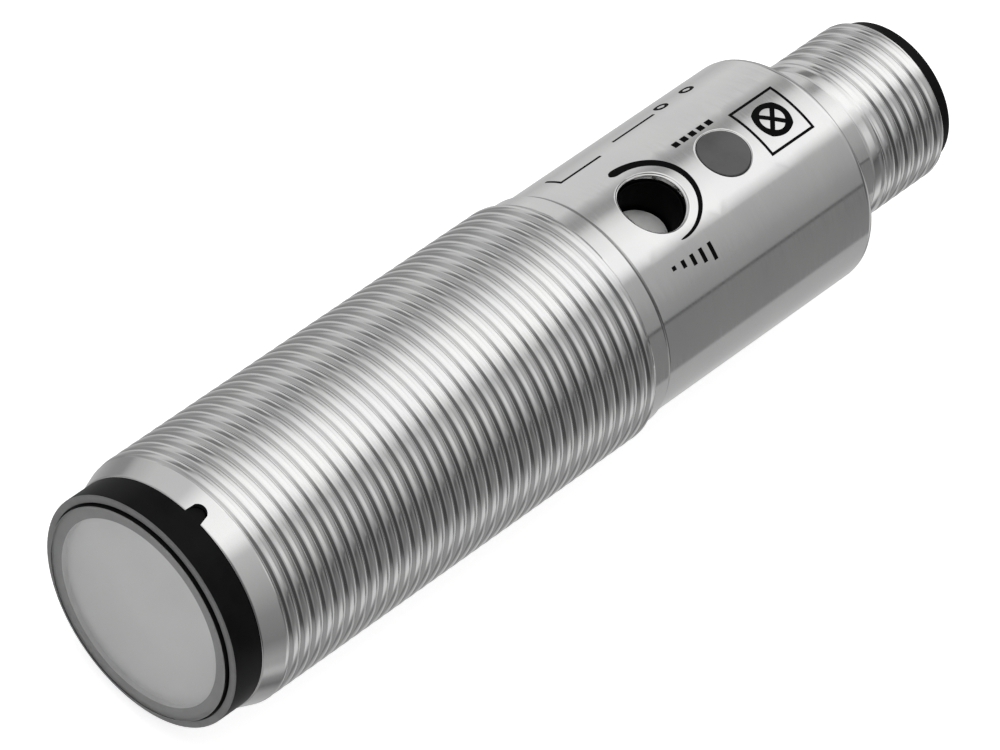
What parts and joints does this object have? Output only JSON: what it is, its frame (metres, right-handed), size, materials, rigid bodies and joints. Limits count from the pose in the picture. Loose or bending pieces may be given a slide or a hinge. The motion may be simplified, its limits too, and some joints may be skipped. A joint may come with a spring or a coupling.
{
  "type": "photoelectric sensor",
  "caption": "Tubular metal photoelectric sensor with a threaded barrel, round front window, turning sensitivity trimmer, indicator and threaded plug with contact pins.",
  "frame": {"origin": "centre of the front window's outer face", "axes": "+Y along the barrel from the window to the plug, +Z towards the trimmer and the indicator"},
  "size_m": [0.0178, 0.0718, 0.0178],
  "materials": {
    "nickel": "satin nickel plating",
    "black_plastic": "satin",
    "clear_plastic": "clear",
    "grey_filter": "smooth",
    "circuit_board": "lacquered",
    "blue_plastic": "satin",
    "gold": "gold plated"
  },
  "bodies": {
    "sensor": {"housing_barrel": "nickel", "connector_shell": "nickel", "front_bezel": "black_plastic", "connector_insert": "black_plastic", "optic_carrier": "black_plastic", "receiver_diode": "black_plastic", "control_chip": "black_plastic", "output_transistor": "black_plastic", "front_window": "clear_plastic", "emitter_lens": "clear_plastic", "receiver_lens": "clear_plastic", "emitter_led": "clear_plastic", "indicator_led": "clear_plastic", "filter_disc": "grey_filter", "indicator_window": "grey_filter", "optic_board": "circuit_board", "main_board": "circuit_board", "rear_board": "circuit_board", "trimmer_body": "blue_plastic", "trimmer_sleeve": "black_plastic", "contact_pin_1": "gold", "contact_pin_2": "gold", "contact_pin_3": "gold", "contact_pin_4": "gold"},
    "adjuster": {"trimmer_rotor": "nickel"}
  },
  "joints": [
    {"name": "trimmer_turn", "type": "hinge", "parent": "sensor", "child": "adjuster", "pos_m": [0, 0.0448, 0.0049], "axis": [0, 0, 1], "range_deg": [-135, 135]}
  ]
}
